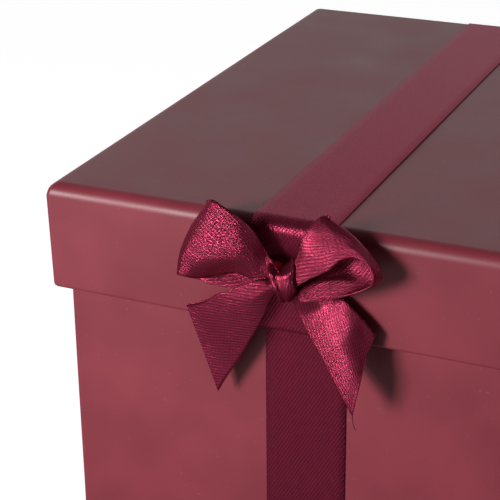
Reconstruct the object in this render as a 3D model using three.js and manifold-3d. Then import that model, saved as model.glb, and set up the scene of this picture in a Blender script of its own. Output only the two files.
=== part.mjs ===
// A two-piece rigid gift box: greyboard trays wrapped in printed paper, a lift-off lid, satin ribbon bands
// and a tied satin bow glued to the front of the lid. Millimetres, +Z up, X along the front, front face
// towards -Y. The origin is the centre of the base's plan at the surface that the box stands on.
import * as THREE from "three";
import { mergeVertices } from "three/addons/utils/BufferGeometryUtils.js";
import Module from "manifold-3d";

const wasm = await Module();
wasm.setup();

// Lid and base, outside
const lidWidth = 96;
const lidDepth = 130;
const lidSkirt = 20.5;
const boxHeight = 95; // up to the paper on the lid's top
const lidDraw = 0.3; // how far the wrapped skirt draws in from the top to its rim
const lidClearance = 0.6; // between the skirt's rim inside and the base's outside, on each side
const seatGap = 0.1; // between the base's rim and the lid's lining

// Sheet materials
const boardThickness = 1.2;
const paperThickness = 0.2;
const liningThickness = 0.15;
const stayThickness = 0.1;
const glueLine = 0.05;

// Folds
const edgeRadius = 2.4; // paper over the fold between the top, or the bottom, and the walls
const cornerRadius = 0.8; // upright corners, where walls meet edge to edge
const rimRadius = 0.8; // paper over the cut rim of a wall
const leastRadius = 0.1;
const lidTurnIn = 13;
const baseTurnIn = 16;
const liningLap = 2; // how far the lining covers the turned-in paper
const stayLeg = 12;
const stayMargin = 2; // from a stay's end to the fold or the rim
const cornerSeam = 0.2; // between two board walls that meet
const bladePast = 1; // a cutting blade reaches this far past the wall it cuts

// Ribbon
const ribbonWidth = 15;
const ribbonThickness = 0.2;
const lidBandFrontX = 0; // the lid's band was glued slightly askew
const lidBandBackX = -0.4;
const lidBandTurnIn = 10;
const baseBandX = 1.5;
const baseBandStop = 6; // from the base's rim down to the band's ends, under the lid

// Bow, tied from the same ribbon
const knotDrop = 9; // from the lid's top down to the knot's centre
const knotX = 0.4;
const knotDepth = 6;
const knotHeight = 8.4;
const knotWidth = 5;
const knotWaist = 2.6; // the knot's width where it's drawn tight
const knotBand = 0.5; // thickness of the folded band round the knot
const knotLean = Math.PI / 6; // the knot is widest this far above its middle
const knotFolds = 3;
const knotFoldDepth = 0.16;
const padThickness = 0.4;
const padWidth = 2.2;
const padHeight = 4;
const bowRibbonThickness = 0.35; // two satin faces with the air between folds
const bowDrawnWidth = 15; // the ribbon width that the bow's guide points are drawn for

// How finely curves are divided
const mergeDistance = 1e-4;
const cornerSteps = 6;
const foldSteps = 6;
const rimSteps = 4;
const stripSteps = 42;
const stripSpans = 8;
const knotSteps = 32;
const knotSpans = 8;

// What follows from those sizes
const stayRoom = stayThickness + 2 * glueLine; // paper stands this far off the board, over the stays
const boardInset = paperThickness + stayRoom;
const boardInside = boardInset + boardThickness;
const wallThickness = boardInside + glueLine + paperThickness;
const liningInset = wallThickness + glueLine;
const lidTopThickness = boardInside + glueLine + liningThickness;
const bandFace = glueLine + ribbonThickness; // the ribbon's face stands this far off the paper
const lidPlan = { width: lidWidth, depth: lidDepth, corner: cornerRadius };
const baseInset = wallThickness + lidDraw + lidClearance;
const basePlan = {
  width: lidWidth - 2 * baseInset,
  depth: lidDepth - 2 * baseInset,
  corner: cornerRadius,
};
const lidRim = boxHeight - lidSkirt;
const baseBottom = bandFace; // the base stands on its ribbon
const baseRim = boxHeight - lidTopThickness - seatGap;
const boardRimRadius = Math.max(rimRadius - boardInset, leastRadius);
const knotOut = bandFace + 2 * glueLine + padThickness + knotDepth / 2;

// Finishes
function finish(color, roughness) {
  return new THREE.MeshStandardMaterial({ color, roughness, metalness: 0 });
}
const wrapPaper = () => finish(0x8f3c4a, 0.5);
const greyBoard = () => finish(0x8d8880, 0.95);
const liningPaper = () => finish(0xf0ece4, 0.85);
const stayPaper = () => finish(0xb79c72, 0.9);
const satin = () => finish(0x8c1c40, 0.35);
const gluePad = () => finish(0xe6e0cf, 0.6);

// A geometry from its points and the triangles that join them.
function geometryOf(points, triangles) {
  const flat = points.flatMap((p) => [p.x, p.y, p.z]);
  const geometry = new THREE.BufferGeometry();
  geometry.setAttribute("position", new THREE.Float32BufferAttribute(flat, 3));
  geometry.setIndex(triangles);
  geometry.computeVertexNormals();
  return geometry;
}

// The plan's rounded rectangle, drawn in by inset, anticlockwise from above at height z.
function planRing(plan, inset, z) {
  const halfX = plan.width / 2 - inset;
  const halfY = plan.depth / 2 - inset;
  const radius = Math.max(plan.corner - inset, leastRadius);
  const signs = [[1, 1], [-1, 1], [-1, -1], [1, -1]];
  return signs.flatMap(([sx, sy], corner) =>
    Array.from({ length: cornerSteps + 1 }, (_, step) => {
      const turn = ((corner + step / cornerSteps) * Math.PI) / 2;
      const x = sx * (halfX - radius) + radius * Math.cos(turn);
      const y = sy * (halfY - radius) + radius * Math.sin(turn);
      return new THREE.Vector3(x, y, z);
    }),
  );
}

// A folded tray as one sheet: the profile's [inset, z] points run from the sheet's face that looks up to
// the one that looks down, each one a ring round the plan.
function foldedTray(plan, profile) {
  const rings = profile.map(([inset, z]) => planRing(plan, inset, z));
  const count = rings[0].length;
  const points = rings.flat();
  const triangles = [];
  for (let row = 0; row < rings.length - 1; row += 1) {
    for (let i = 0; i < count; i += 1) {
      const j = (i + 1) % count;
      const a = row * count;
      const b = a + count;
      triangles.push(a + i, b + i, b + j, a + i, b + j, a + j);
    }
  }
  const last = (rings.length - 1) * count;
  const top = points.push(new THREE.Vector3(0, 0, profile[0][1])) - 1;
  const under = points.push(new THREE.Vector3(0, 0, profile.at(-1)[1])) - 1;
  for (let i = 0; i < count; i += 1) {
    const j = (i + 1) % count;
    triangles.push(top, i, j, under, last + j, last + i);
  }
  return geometryOf(points, triangles);
}

// Points of an arc in the (inset, z) plane, from one angle to another in degrees.
function arc(inset, z, radius, from, to, steps) {
  return Array.from({ length: steps + 1 }, (_, step) => {
    const turn = THREE.MathUtils.degToRad(from + ((to - from) * step) / steps);
    return [inset + radius * Math.cos(turn), z + radius * Math.sin(turn)];
  });
}

// A closed three.js geometry as a solid for cutting, and the cut solid back as a geometry.
function solidOf(geometry) {
  const bare = geometry.clone();
  bare.deleteAttribute("normal");
  bare.deleteAttribute("uv");
  const merged = mergeVertices(bare, mergeDistance);
  const vertProperties = merged.attributes.position.array;
  const triVerts = new Uint32Array(merged.index.array);
  return new wasm.Manifold(new wasm.Mesh({ numProp: 3, vertProperties, triVerts }));
}

function geometryFrom(solid) {
  const { vertProperties, triVerts } = solid.getMesh();
  const geometry = new THREE.BufferGeometry();
  geometry.setAttribute("position", new THREE.BufferAttribute(vertProperties, 3));
  geometry.setIndex(new THREE.BufferAttribute(triVerts, 1));
  geometry.computeVertexNormals();
  return geometry;
}

// A board tray is one scored blank, so its four walls meet in open seams at the corners.
function cutCornerSeams(geometry, plan, low, high) {
  const reach = 2 * (boardThickness / Math.SQRT1_2 + bladePast);
  let board = solidOf(geometry);
  for (const sx of [-1, 1]) {
    for (const sy of [-1, 1]) {
      const blade = new THREE.BoxGeometry(reach, cornerSeam, high - low);
      blade.rotateZ((sx * sy * Math.PI) / 4);
      const x = sx * (plan.width / 2 - boardInside);
      const y = sy * (plan.depth / 2 - boardInside);
      blade.translate(x, y, (low + high) / 2);
      board = board.subtract(solidOf(blade));
    }
  }
  return geometryFrom(board);
}

// The lid's skirt is drawn in towards its rim, and all that's on it follows.
function drawnIn(geometry) {
  const position = geometry.getAttribute("position");
  for (let i = 0; i < position.count; i += 1) {
    const z = position.getZ(i);
    const draw = (lidDraw * Math.max(boxHeight - z, 0)) / lidSkirt;
    const x = position.getX(i) * (1 - (2 * draw) / lidWidth);
    const y = position.getY(i) * (1 - (2 * draw) / lidDepth);
    position.setXYZ(i, x, y, z);
  }
  geometry.computeVertexNormals();
  return geometry;
}

// Lid: board, paper wrap and lining
function lidBoardGeometry() {
  const ceiling = boxHeight - boardInside;
  const fold = edgeRadius - boardInset;
  const rim = lidRim + boardInset + boardRimRadius;
  const profile = [
    ...arc(edgeRadius, boxHeight - edgeRadius, fold, 90, 180, foldSteps),
    ...arc(boardInset + boardRimRadius, rim, boardRimRadius, 180, 270, rimSteps),
    ...arc(boardInside - boardRimRadius, rim, boardRimRadius, 270, 360, rimSteps),
    [boardInside, ceiling],
  ];
  return cutCornerSeams(foldedTray(lidPlan, profile), lidPlan, lidRim - bladePast, ceiling);
}

function lidWrapGeometry() {
  const inner = edgeRadius - paperThickness;
  const rimBack = rimRadius - paperThickness;
  const profile = [
    ...arc(edgeRadius, boxHeight - edgeRadius, edgeRadius, 90, 180, foldSteps),
    ...arc(rimRadius, lidRim + rimRadius, rimRadius, 180, 270, rimSteps),
    ...arc(wallThickness - rimRadius, lidRim + rimRadius, rimRadius, 270, 360, rimSteps),
    [wallThickness, lidRim + lidTurnIn],
    [wallThickness - paperThickness, lidRim + lidTurnIn],
    ...arc(wallThickness - rimRadius, lidRim + rimRadius, rimBack, 360, 270, rimSteps),
    ...arc(rimRadius, lidRim + rimRadius, rimBack, 270, 180, rimSteps),
    ...arc(edgeRadius, boxHeight - edgeRadius, inner, 180, 90, foldSteps),
  ];
  return foldedTray(lidPlan, profile);
}

function lidLiningGeometry() {
  const ceiling = boxHeight - boardInside - glueLine;
  const edge = lidRim + lidTurnIn - liningLap;
  const profile = [
    [liningInset, ceiling],
    [liningInset, edge],
    [liningInset + liningThickness, edge],
    [liningInset + liningThickness, ceiling - liningThickness],
  ];
  return foldedTray(lidPlan, profile);
}

// Base: board, paper wrap and lining
function baseBoardGeometry() {
  const floor = baseBottom + boardInside;
  const top = baseRim - boardInset - boardRimRadius;
  const profile = [
    [boardInside, floor],
    ...arc(boardInside - boardRimRadius, top, boardRimRadius, 0, 90, rimSteps),
    ...arc(boardInset + boardRimRadius, top, boardRimRadius, 90, 180, rimSteps),
    ...arc(edgeRadius, baseBottom + edgeRadius, edgeRadius - boardInset, 180, 270, foldSteps),
  ];
  return cutCornerSeams(foldedTray(basePlan, profile), basePlan, floor, baseRim + bladePast);
}

function baseWrapGeometry() {
  const inner = edgeRadius - paperThickness;
  const rimBack = rimRadius - paperThickness;
  const rim = baseRim - rimRadius;
  const profile = [
    ...arc(edgeRadius, baseBottom + edgeRadius, inner, 270, 180, foldSteps),
    ...arc(rimRadius, rim, rimBack, 180, 90, rimSteps),
    ...arc(wallThickness - rimRadius, rim, rimBack, 90, 0, rimSteps),
    [wallThickness - paperThickness, baseRim - baseTurnIn],
    [wallThickness, baseRim - baseTurnIn],
    ...arc(wallThickness - rimRadius, rim, rimRadius, 0, 90, rimSteps),
    ...arc(rimRadius, rim, rimRadius, 90, 180, rimSteps),
    ...arc(edgeRadius, baseBottom + edgeRadius, edgeRadius, 180, 270, foldSteps),
  ];
  return foldedTray(basePlan, profile);
}

function baseLiningGeometry() {
  const under = baseBottom + boardInside + glueLine;
  const edge = baseRim - baseTurnIn + liningLap;
  const profile = [
    [liningInset + liningThickness, under + liningThickness],
    [liningInset + liningThickness, edge],
    [liningInset, edge],
    [liningInset, under],
  ];
  return foldedTray(basePlan, profile);
}

// A paper stay folded round an upright corner of the board, in the corner that sx and sy point to.
function cornerStayGeometry(plan, sx, sy, low, high) {
  const outside = paperThickness + glueLine;
  const inside = outside + stayThickness;
  const shape = new THREE.Shape();
  const bendX = plan.width / 2 - plan.corner;
  const bendY = plan.depth / 2 - plan.corner;
  const legX = plan.width / 2 - stayLeg;
  const legY = plan.depth / 2 - stayLeg;
  shape.moveTo(plan.width / 2 - outside, legY);
  shape.absarc(bendX, bendY, plan.corner - outside, 0, Math.PI / 2, false);
  shape.lineTo(legX, plan.depth / 2 - outside);
  shape.lineTo(legX, plan.depth / 2 - inside);
  shape.absarc(bendX, bendY, plan.corner - inside, Math.PI / 2, 0, true);
  shape.lineTo(plan.width / 2 - inside, legY);
  const options = { depth: high - low, bevelEnabled: false, curveSegments: cornerSteps };
  const geometry = new THREE.ExtrudeGeometry(shape, options);
  geometry.translate(0, 0, low);
  if (sx * sy < 0) geometry.applyMatrix4(new THREE.Matrix4().makeScale(-1, 1, 1));
  if (sy < 0) geometry.rotateZ(Math.PI);
  return sx * sy < 0 ? turnedInsideOut(geometry) : geometry;
}

// Mirroring turns each face round, so its corners are put back in order.
function turnedInsideOut(geometry) {
  const flipped = geometry.index ? geometry.toNonIndexed() : geometry.clone();
  const position = flipped.getAttribute("position");
  const a = new THREE.Vector3();
  const b = new THREE.Vector3();
  for (let i = 0; i < position.count; i += 3) {
    a.fromBufferAttribute(position, i + 1);
    b.fromBufferAttribute(position, i + 2);
    position.setXYZ(i + 1, b.x, b.y, b.z);
    position.setXYZ(i + 2, a.x, a.y, a.z);
  }
  flipped.computeVertexNormals();
  return flipped;
}

// A glued ribbon band: its side view runs round the front, over the flat side and down the back, and the
// band leans from one x at the front to another at the back.
function bandGeometry(plan, sideView, frontX, backX) {
  const half = plan.depth / 2;
  const front = ([inset, z]) => new THREE.Vector2(inset - half, z);
  const back = ([inset, z]) => new THREE.Vector2(half - inset, z);
  const face = sideView(bandFace);
  const glued = sideView(glueLine);
  const outline = [
    ...face.map(front),
    ...[...face].reverse().map(back),
    ...glued.map(back),
    ...[...glued].reverse().map(front),
  ];
  if (THREE.ShapeUtils.area(outline) < 0) outline.reverse();
  const options = { depth: ribbonWidth, bevelEnabled: false };
  const geometry = new THREE.ExtrudeGeometry(new THREE.Shape(outline), options);
  const position = geometry.getAttribute("position");
  for (let i = 0; i < position.count; i += 1) {
    const y = position.getX(i);
    const z = position.getY(i);
    const lean = THREE.MathUtils.mapLinear(y, -half, half, frontX, backX);
    position.setXYZ(i, position.getZ(i) - ribbonWidth / 2 + lean, y, z);
  }
  geometry.computeVertexNormals();
  return geometry;
}

function lidBandSide(off) {
  return [
    [wallThickness + off, lidRim + lidBandTurnIn],
    ...arc(wallThickness - rimRadius, lidRim + rimRadius, rimRadius + off, 360, 270, rimSteps),
    ...arc(rimRadius, lidRim + rimRadius, rimRadius + off, 270, 180, rimSteps),
    ...arc(edgeRadius, boxHeight - edgeRadius, edgeRadius + off, 180, 90, foldSteps),
  ];
}

function baseBandSide(off) {
  return [
    [-off, baseRim - baseBandStop],
    ...arc(edgeRadius, baseBottom + edgeRadius, edgeRadius + off, 180, 270, foldSteps),
  ];
}

// The bow's points are [right, out, up] from the knot's centre, out being away from the lid's front.
const bowScale = ribbonWidth / bowDrawnWidth;
function bowPoint([right, out, up]) {
  return new THREE.Vector3(right, -out, up).multiplyScalar(bowScale);
}

// A strip of ribbon through guide lines that run along it, side by side from one selvedge to the other.
function stripGeometry(guides) {
  const lines = guides.map((guide) => new THREE.CatmullRomCurve3(guide.map(bowPoint), false, "centripetal"));
  const rows = Array.from({ length: stripSteps + 1 }, (_, row) => {
    const across = lines.map((line) => line.getPoint(row / stripSteps));
    return new THREE.CatmullRomCurve3(across, false, "centripetal").getPoints(stripSpans);
  });
  return thickened(rows, bowRibbonThickness, false);
}

// A grid of points thickened to both sides into a closed sheet. Where looped is true, its last row joins
// its first.
function thickened(rows, thickness, looped) {
  const rowCount = rows.length;
  const width = rows[0].length;
  const clamp = (value, count) => THREE.MathUtils.clamp(value, 0, count - 1);
  const at = (row, span) => {
    const line = looped ? (row + rowCount) % rowCount : clamp(row, rowCount);
    return rows[line][clamp(span, width)];
  };
  const normalAt = (row, span) => {
    const along = at(row + 1, span).clone().sub(at(row - 1, span));
    const across = at(row, span + 1).clone().sub(at(row, span - 1));
    return along.cross(across).normalize();
  };
  const points = [];
  for (const side of [0.5, -0.5]) {
    rows.forEach((line, row) => {
      line.forEach((point, span) => {
        points.push(point.clone().addScaledVector(normalAt(row, span), side * thickness));
      });
    });
  }
  const index = (face, row, span) => face * rowCount * width + (row % rowCount) * width + span;
  const triangles = [];
  const quad = (a, b, c, d) => triangles.push(a, b, c, a, c, d);
  const lastRow = looped ? rowCount : rowCount - 1;
  const around = [[0, 0], [1, 0], [1, 1], [0, 1]];
  for (let row = 0; row < lastRow; row += 1) {
    for (let span = 0; span < width - 1; span += 1) {
      const corners = (face) => around.map(([r, s]) => index(face, row + r, span + s));
      quad(...corners(0));
      quad(...corners(1).reverse());
    }
    quad(index(0, row, 0), index(1, row, 0), index(1, row + 1, 0), index(0, row + 1, 0));
    const edge = width - 1;
    quad(index(0, row + 1, edge), index(1, row + 1, edge), index(1, row, edge), index(0, row, edge));
  }
  if (!looped) {
    const end = rowCount - 1;
    for (let span = 0; span < width - 1; span += 1) {
      quad(index(0, 0, span + 1), index(1, 0, span + 1), index(1, 0, span), index(0, 0, span));
      quad(index(0, end, span), index(1, end, span), index(1, end, span + 1), index(0, end, span + 1));
    }
  }
  return geometryOf(points, triangles);
}

// The knot is a folded band round the gathered ribbon, widest over its front and tight below.
function knotGeometry() {
  const midDepth = (knotDepth - knotBand) / 2;
  const midHeight = (knotHeight - knotBand) / 2;
  const rows = Array.from({ length: knotSteps }, (_, row) => {
    const turn = (2 * Math.PI * row) / knotSteps;
    const front = Math.max(0, Math.cos(turn - knotLean));
    const halfWidth = THREE.MathUtils.lerp(knotWaist, knotWidth, front) / 2;
    return Array.from({ length: knotSpans + 1 }, (_, span) => {
      const t = (2 * span) / knotSpans - 1;
      const fold = 1 + (knotFoldDepth * front * Math.cos(knotFolds * Math.PI * t)) / midDepth;
      const out = midDepth * Math.cos(turn) * fold;
      const up = midHeight * Math.sin(turn) * fold;
      return new THREE.Vector3(halfWidth * t, -out, up);
    });
  });
  return thickened(rows, knotBand, true);
}

// Four guides along each strip, from its lower selvedge to its upper one. They run from inside the knot
// outwards and, for a loop, over its bend and back behind.
const leftLoop = [
  [
    [-0.3, 1.5, -1.6], [-2.4, 1.7, -0.6], [-3.6, 1.3, 0.4], [-5.9, 0.8, 0], [-9.7, 0, 0.1],
    [-13.4, 0, -1.3], [-16.3, 1.2, -1.6], [-17.9, 2.5, -1.1], [-19.5, 1.5, -1.4], [-20.2, -0.4, -2.4],
    [-19.3, -1.8, -3.3], [-17.2, -2.4, -3.7], [-14.4, -2.5, -4.4], [-9.9, -2.4, -3.7],
    [-7.2, -2.1, -2.3], [-4, -1.8, -1.2], [-0.3, -1.5, -1.6],
  ],
  [
    [-0.3, 1.7, -0.6], [-2.5, 2, 0.8], [-3.3, 2, 2.4], [-4.7, 3.2, 3.9], [-7, 4.7, 5.4],
    [-9.8, 5.8, 5.6], [-12.8, 6.4, 5.7], [-15.6, 5.4, 5.2], [-18.4, 2.5, 3.3], [-19.7, -0.4, 1.5],
    [-19.4, -2.1, 0.5], [-16.9, -2.9, -0.3], [-13.7, -2.9, -1.1], [-9.8, -2.6, -1.5],
    [-7.2, -2.4, -0.7], [-4.3, -1.9, -0.1], [-0.3, -1.6, -0.6],
  ],
  [
    [-0.3, 1.7, 0.6], [-2.4, 1.6, 2.1], [-3.2, 1.6, 4], [-4.8, 2.7, 6.6], [-6.8, 4, 8.8],
    [-8.9, 5.2, 9.8], [-11.2, 5.8, 10.4], [-13.4, 4.7, 10], [-16.1, 1.7, 8.7], [-17.2, -1, 7.1],
    [-17, -2.5, 5.4], [-14.9, -3, 3.7], [-12.3, -3, 2.1], [-9.3, -2.9, 0.8], [-6.9, -2.5, 0.5],
    [-4.3, -2.1, 0.8], [-0.3, -1.6, 0.6],
  ],
  [
    [-0.3, 1.5, 1.6], [-2.4, 0.9, 2.9], [-3.4, 0.8, 5.1], [-5.2, 1.7, 8.7], [-7, 2.7, 11.1],
    [-8.9, 3.2, 12.7], [-11.1, 2.8, 13.4], [-12.6, 1.7, 13.2], [-14.1, -0.4, 12.4],
    [-14.7, -1.9, 11.1], [-14.2, -2.8, 9.5], [-12.6, -3, 7.1], [-10.6, -3, 4.8], [-8.3, -2.9, 2.8],
    [-6.6, -2.6, 1.7], [-4.4, -2.2, 1.7], [-0.3, -1.5, 1.6],
  ],
];
const rightLoop = [
  [
    [0.3, 1.5, -1.6], [2.4, 1.7, -0.6], [3.3, 2.1, 0.8], [6.1, 3.8, 3.4], [9.8, 6.2, 6.3],
    [12.9, 8.7, 9.7], [15.4, 9.2, 10.8], [17.3, 8.8, 9.9], [17.6, 6.2, 6.7], [16.3, 3.5, 3.9],
    [13.7, 1, 1.3], [10.6, -0.4, -0.9], [7.4, -0.9, -2.3], [4.5, -1, -3.3], [2.5, -1, -3.4],
    [1.4, -1.1, -2.7], [0.3, -1, -1.4],
  ],
  [
    [0.3, 1.7, -0.6], [2.4, 2, 0.8], [3.2, 2.2, 2.4], [5.5, 3.8, 5.1], [8.5, 6.1, 7.8],
    [11.3, 8.1, 10.5], [13.5, 7.7, 11.2], [15.6, 6.1, 10.5], [18.4, 3.5, 5.8], [16.5, 0.8, 2.9],
    [12.7, -0.4, 1.9], [9.3, -0.9, 1], [6.2, -1.1, -0.4], [3.9, -1.2, -1.6], [2.3, -1.3, -2.2],
    [1.3, -1.3, -1.8], [0.3, -1.2, -0.5],
  ],
  [
    [0.3, 1.6, 0.6], [2.3, 1.4, 1.9], [3.2, 1.9, 3.9], [4.4, 2.8, 6.6], [6.7, 4.7, 9.2],
    [8.5, 5.8, 10.3], [10.1, 5.1, 11.5], [11.4, 2.2, 10.7], [12.5, 0.2, 9.8], [11.4, -1.5, 7.1],
    [9.3, -2.2, 4.3], [6.6, -2.4, 2.3], [4.3, -2.2, 0.7], [2.9, -1.9, -0.3], [2.1, -1.7, -0.8],
    [1.3, -1.5, -0.7], [0.3, -1.3, 0.5],
  ],
  [
    [0.3, 1.4, 1.5], [2.3, 0.8, 2.7], [3, 1.1, 5], [3.4, 1.8, 8.1], [4.4, 2.5, 9.8],
    [5.3, 2.8, 11.2], [5.6, 1.7, 12.1], [6.1, -0.1, 12.5], [6.5, -1.5, 12.1], [6.7, -2.8, 9.7],
    [5.4, -3, 7.3], [3.7, -3, 4.7], [2.5, -2.8, 2.9], [1.8, -2.4, 1.8], [1.5, -2, 1.3],
    [1.1, -1.7, 1.1], [0.3, -1.2, 1.4],
  ],
];
const leftTail = [
  [
    [-0.3, 0, -1.6], [-2.5, -0.4, -3.1], [-5.1, -1.5, -8.6], [-7.5, -2.1, -13], [-9.7, -2.4, -17.3],
    [-12.2, -2.5, -21.5], [-14.2, -2.5, -25.1],
  ],
  [
    [-0.3, 0.4, -0.8], [-2.5, 0.5, -1.8], [-5.7, -0.5, -5.7], [-8.9, -1.2, -9.4], [-12, -1.6, -12.9],
    [-14.9, -1.9, -15.8], [-16.7, -2, -17],
  ],
  [
    [-0.3, 0.4, 0.4], [-2.6, 0.7, -1], [-6.5, -0.5, -4.5], [-10.7, -1.1, -5.9], [-14.9, -1.5, -7.6],
    [-17.5, -1.8, -8.6], [-19.5, -1.9, -9.2],
  ],
  [
    [-0.3, 0, 1.2], [-2.9, -0.1, -0.3], [-6.1, -0.5, -1.5], [-10, -1, -3.7], [-13.4, -1.4, -5.6],
    [-16.8, -1.6, -7.6], [-19.7, -1.9, -8.8],
  ],
];
const rightTail = [
  [
    [0.3, -1.6, -0.9], [1.8, -1.9, -2.2], [1.8, -2.2, -7.2], [3.9, -1.8, -10.5], [6.6, -1, -14.1],
    [10.1, 0, -19.1], [12.5, 0.7, -22.6],
  ],
  [
    [0.3, -1.7, -0.6], [2.3, -2.1, -2.1], [3.5, -1.9, -5.8], [6.5, -0.5, -8.6], [9.3, 0.5, -11.1],
    [11.9, 1, -14.6], [13.7, 1.2, -16.9],
  ],
  [
    [0.3, -1.8, -0.3], [2.9, -2.3, -2.1], [5.3, -2.2, -4.5], [8.7, -0.9, -6.2], [11.7, 0.5, -7.6],
    [13.8, 1, -9.6], [14.9, 1.2, -10.7],
  ],
  [
    [0.3, -1.8, 0], [3.2, -2.6, -1.9], [6.5, -2.6, -2.8], [9.5, -2.2, -2.7], [12.4, -1, -4],
    [14.6, 0.1, -5.2], [16.4, 1, -6.4],
  ],
];

function gluePadGeometry() {
  const geometry = new THREE.CylinderGeometry(0.5, 0.5, padThickness, 4 * cornerSteps);
  geometry.scale(padWidth, 1, padHeight);
  return geometry;
}

// Assembly
const giftBox = new THREE.Group();
const base = new THREE.Group();
const lid = new THREE.Group();
const bow = new THREE.Group();
giftBox.add(base, lid);
lid.add(bow);
const frontAtKnot = lidDepth / 2 - (lidDraw * knotDrop) / lidSkirt;
bow.position.set(knotX, -frontAtKnot - knotOut, boxHeight - knotDrop);

function addPiece(group, name, geometry, material) {
  const mesh = new THREE.Mesh(geometry, material);
  mesh.name = name;
  group.add(mesh);
  return mesh;
}

const corners = { front_left: [-1, -1], front_right: [1, -1], back_left: [-1, 1], back_right: [1, 1] };
function addStays(group, prefix, plan, low, high) {
  for (const [place, [sx, sy]] of Object.entries(corners)) {
    const geometry = cornerStayGeometry(plan, sx, sy, low, high);
    addPiece(group, `${prefix}_stay_${place}`, geometry, stayPaper());
  }
}

addPiece(base, "base_board", baseBoardGeometry(), greyBoard());
addPiece(base, "base_wrap", baseWrapGeometry(), wrapPaper());
addPiece(base, "base_lining", baseLiningGeometry(), liningPaper());
addStays(base, "base", basePlan, baseBottom + edgeRadius + stayMargin, baseRim - rimRadius - stayMargin);
addPiece(base, "base_ribbon", bandGeometry(basePlan, baseBandSide, baseBandX, baseBandX), satin());

addPiece(lid, "lid_board", lidBoardGeometry(), greyBoard());
addPiece(lid, "lid_wrap", lidWrapGeometry(), wrapPaper());
addPiece(lid, "lid_lining", lidLiningGeometry(), liningPaper());
addStays(lid, "lid", lidPlan, lidRim + rimRadius + stayMargin, boxHeight - edgeRadius - stayMargin);
addPiece(lid, "lid_ribbon", bandGeometry(lidPlan, lidBandSide, lidBandFrontX, lidBandBackX), satin());
for (const piece of lid.children.filter((child) => child.isMesh)) drawnIn(piece.geometry);

addPiece(bow, "bow_knot", knotGeometry(), satin());
addPiece(bow, "bow_loop_left", stripGeometry(leftLoop), satin());
addPiece(bow, "bow_loop_right", stripGeometry(rightLoop), satin());
addPiece(bow, "bow_tail_left", stripGeometry(leftTail), satin());
addPiece(bow, "bow_tail_right", stripGeometry(rightTail), satin());
const pad = addPiece(bow, "bow_glue_pad", gluePadGeometry(), gluePad());
pad.position.y = knotDepth / 2 + glueLine + padThickness / 2;

export default giftBox;
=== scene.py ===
"""Dresses a two-piece rigid gift box: wrapped paper, satin bands and a satin bow on its lift-off lid."""

import math

import bmesh
import bpy
import numpy as np
from bpy.props import FloatProperty, FloatVectorProperty, PointerProperty
from mathutils import Matrix, Vector, noise


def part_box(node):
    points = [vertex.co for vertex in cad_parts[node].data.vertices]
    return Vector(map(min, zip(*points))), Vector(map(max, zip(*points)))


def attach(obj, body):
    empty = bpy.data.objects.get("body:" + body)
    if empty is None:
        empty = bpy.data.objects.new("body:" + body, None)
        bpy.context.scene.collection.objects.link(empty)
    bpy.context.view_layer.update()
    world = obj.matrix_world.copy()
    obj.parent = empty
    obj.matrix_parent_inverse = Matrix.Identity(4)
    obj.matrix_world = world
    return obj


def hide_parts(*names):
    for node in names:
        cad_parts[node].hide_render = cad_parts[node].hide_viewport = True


bl_info = {
    "name": "Ribboned Gift Box",
    "version": (1, 0, 0),
    "blender": (4, 5, 0),
    "location": "View3D > Sidebar > Gift Box",
    "description": "Wraps a rigid gift box in paper and ties its satin ribbon and bow",
    "category": "Add Mesh",
}

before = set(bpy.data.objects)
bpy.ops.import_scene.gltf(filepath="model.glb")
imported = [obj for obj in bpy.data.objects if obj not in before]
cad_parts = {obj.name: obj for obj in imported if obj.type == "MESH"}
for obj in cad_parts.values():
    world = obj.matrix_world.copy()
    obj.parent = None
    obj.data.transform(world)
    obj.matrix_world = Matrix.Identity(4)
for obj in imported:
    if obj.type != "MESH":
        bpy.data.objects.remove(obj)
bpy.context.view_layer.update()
LID_LOW, LID_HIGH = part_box("lid_wrap")
BASE_LOW, BASE_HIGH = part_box("base_wrap")
LID_BAND_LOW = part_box("lid_ribbon")[0]
BASE_BAND_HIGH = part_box("base_ribbon")[1]
MM = 0.001
GLUE = 0.05 * MM
WAVE_LENGTH = 22 * MM
# The bands: how far the lid's reaches up inside it, how far left it has drifted at the back,
# how far right of the middle the base's lies, and their rows and columns of points
LID_BAND_INSIDE = 10.3 * MM
LID_BAND_LEAN = 0.4 * MM
BASE_BAND_RIGHT = 1.5 * MM
LID_BAND_ROWS, BASE_BAND_ROWS, BAND_COLUMNS = 1500, 2100, 9
# The bow: its knot's place right of the lid's middle, out from its front and down from its top,
# the gap between folded layers, the loose thread, and the points across and along
KNOT_RIGHT, KNOT_OUT, KNOT_DROP = 0.4 * MM, 3.75 * MM, 9 * MM
FOLD_GAP = 0.25 * MM
THREAD_RADIUS = 0.07 * MM
OPEN_COLUMNS = 31
KNOT_ROWS, KNOT_COLUMNS = 300, 17


# Settings that a user would change


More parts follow.
